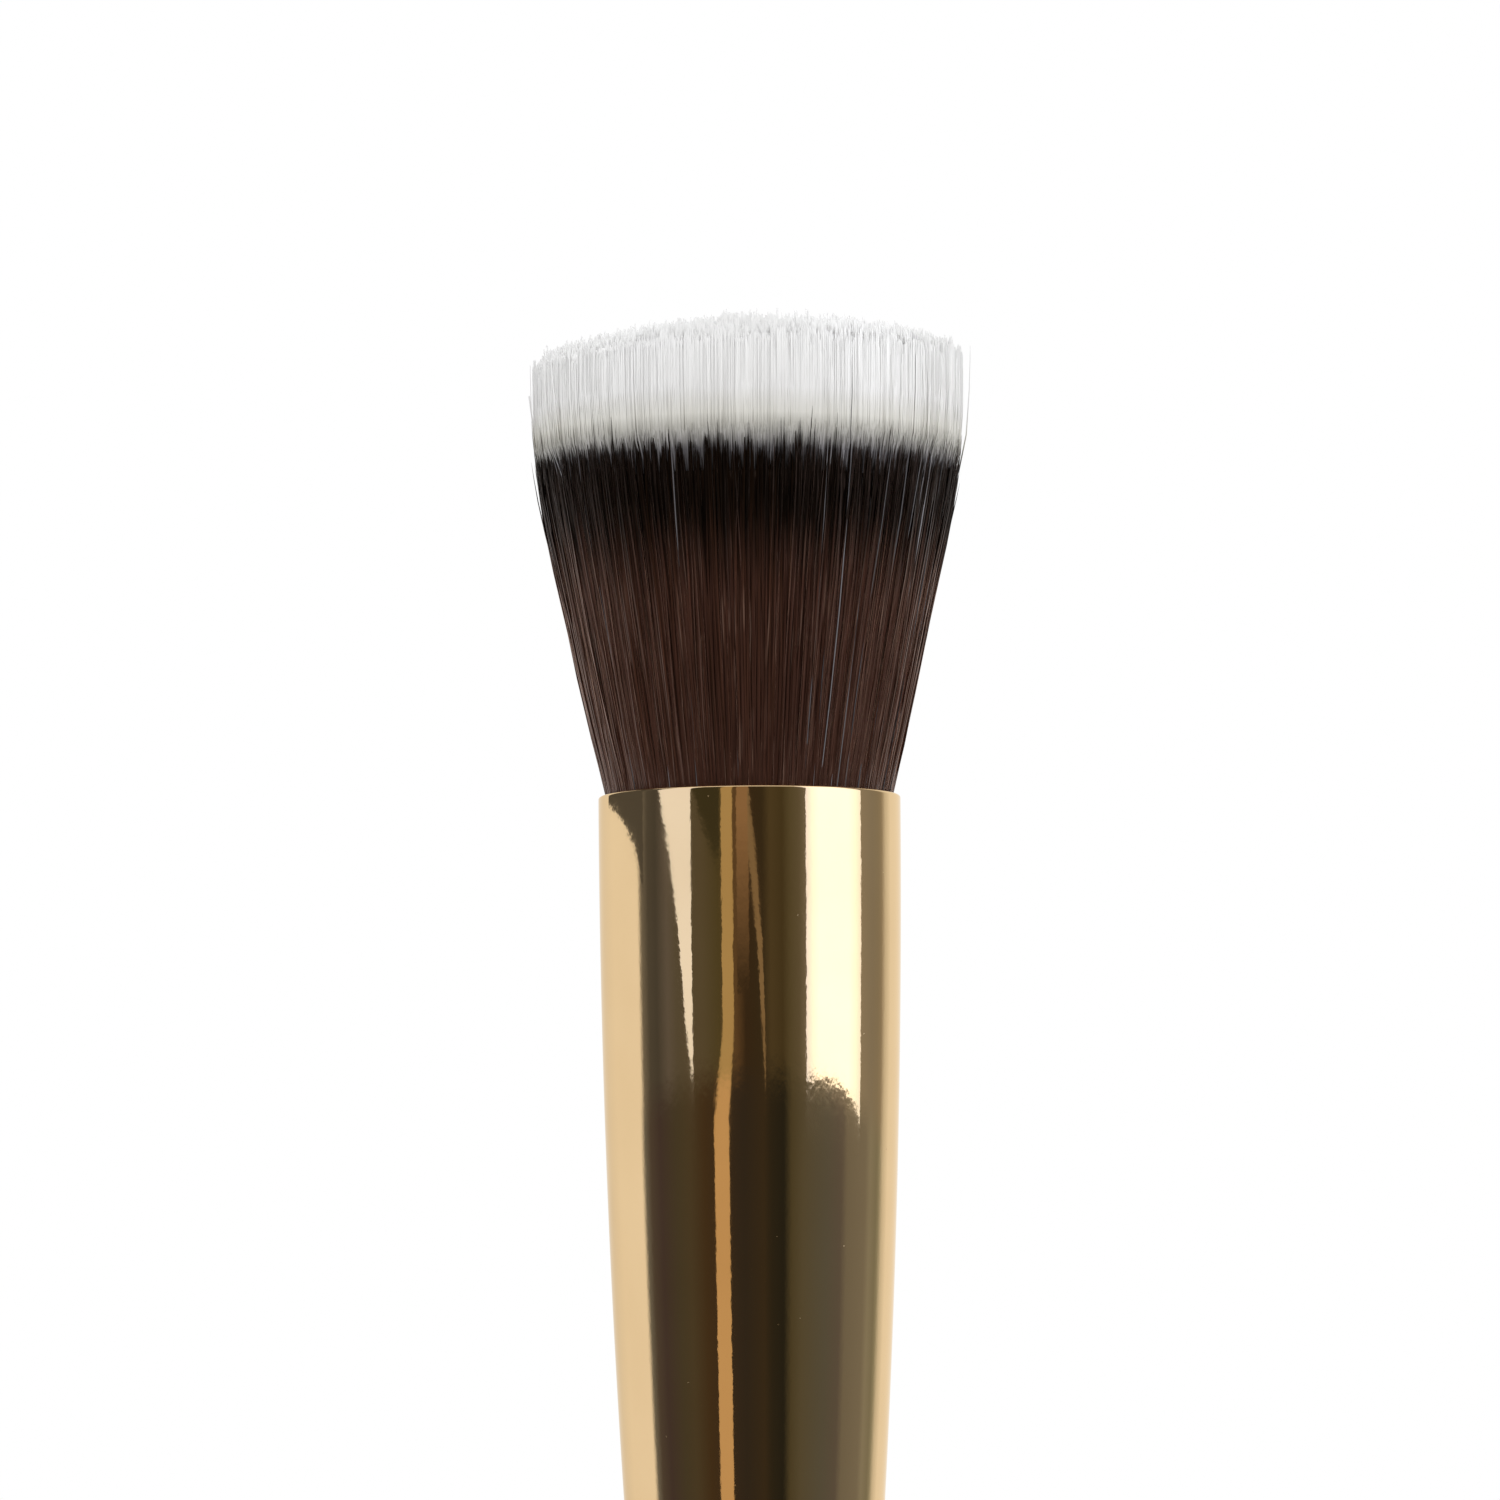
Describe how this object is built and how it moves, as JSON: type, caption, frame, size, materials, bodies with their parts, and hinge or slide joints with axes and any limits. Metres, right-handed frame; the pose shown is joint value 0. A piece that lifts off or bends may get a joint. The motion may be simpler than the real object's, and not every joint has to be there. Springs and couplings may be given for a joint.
{
  "type": "stippling brush",
  "caption": "Flat-topped duo-fibre brush for stippling cosmetics: dark fibres under white tips, in a gold tapered ferrule on a turned handle.",
  "frame": {"origin": "centre of the flat end of the handle, on which the brush stands", "axes": "+Z along the brush's axis, from the handle's flat end to the tips of the fibres"},
  "size_m": [0.0281, 0.0281, 0.1742],
  "materials": {
    "lacquered_wood": "black gloss lacquer",
    "gold_metal": "mirror polished",
    "dark_fibre": "soft hair, brown with black tips",
    "white_fibre": "translucent white synthetic fibre",
    "thread": "waxed twine",
    "glue": "set amber epoxy"
  },
  "bodies": {
    "root": {"handle": "lacquered_wood", "ferrule": "gold_metal", "dark_fibres": "dark_fibre", "white_fibres": "white_fibre", "binding_thread": "thread", "glue_plug": "glue"}
  },
  "joints": []
}
